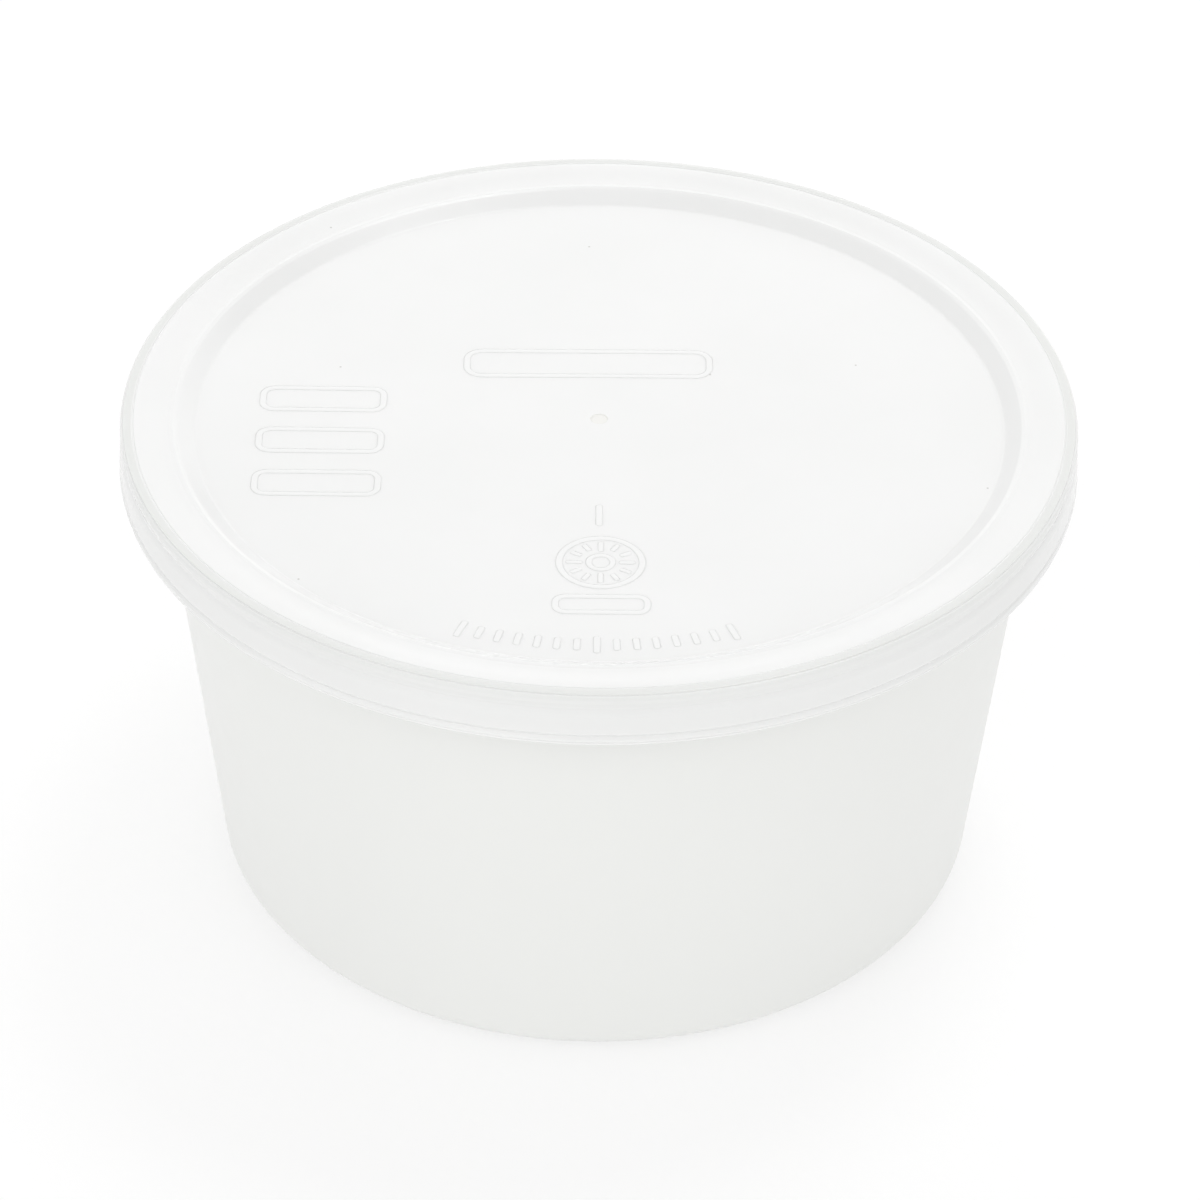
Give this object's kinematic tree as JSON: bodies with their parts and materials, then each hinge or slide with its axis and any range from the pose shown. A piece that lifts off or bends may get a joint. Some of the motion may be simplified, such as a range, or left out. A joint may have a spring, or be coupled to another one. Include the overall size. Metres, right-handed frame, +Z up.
{
  "type": "denture case",
  "caption": "Round tapered cup under a lid that presses over its rim and lifts off, for soaking and keeping a removable denture.",
  "frame": {"origin": "middle of the underside, in the plane that the foot ring stands on", "axes": "+Z up through the middle of the lid, the case is round about it; the marks on the lid read from the -Y side"},
  "size_m": [0.0982, 0.0982, 0.053],
  "materials": {
    "cup_plastic": "natural milky polypropylene, satin, faintly warm grey, a little light comes through the wall",
    "lid_plastic": "white low density polyethylene, satin, neutral white, low raised marks on the panel"
  },
  "bodies": {
    "cup_body": {"cup": "cup_plastic"},
    "lid_body": {"lid": "lid_plastic"}
  },
  "joints": [
    {"name": "lid_lift", "type": "slide", "parent": "cup_body", "child": "lid_body", "axis": [0, 0, 1], "range_m": [0, 0.08]}
  ]
}
